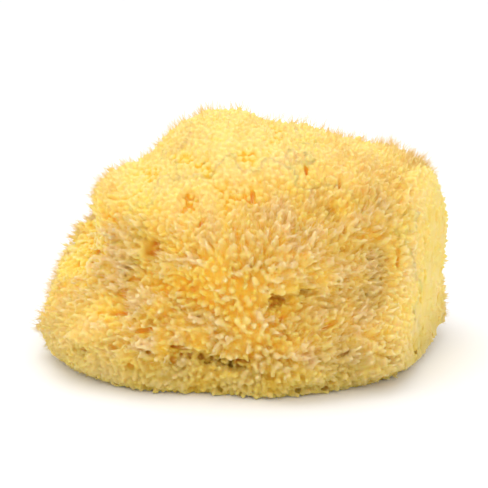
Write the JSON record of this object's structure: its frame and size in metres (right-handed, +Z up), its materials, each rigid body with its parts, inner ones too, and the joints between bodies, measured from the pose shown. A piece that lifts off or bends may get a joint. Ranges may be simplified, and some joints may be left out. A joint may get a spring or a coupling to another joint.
{
  "type": "sea sponge",
  "caption": "Dry wool bath sponge: a lumpy, tufted natural body with open pores, trimmed flat underneath so that it stands, and trimmed flat down one side.",
  "frame": {"origin": "middle of the bounding box in X and Y, on the trimmed flat base", "axes": "+Z up from the base, +X along the length towards the side trimmed flat, -Y towards the face with the long low channel"},
  "size_m": [0.1394, 0.1036, 0.0853],
  "materials": {
    "sponge_wool": "dry, fibrous and tufted; pale cream at the tuft tips, golden between them, orange-brown in the pores"
  },
  "bodies": {
    "root": {"sponge": "sponge_wool"}
  },
  "joints": []
}
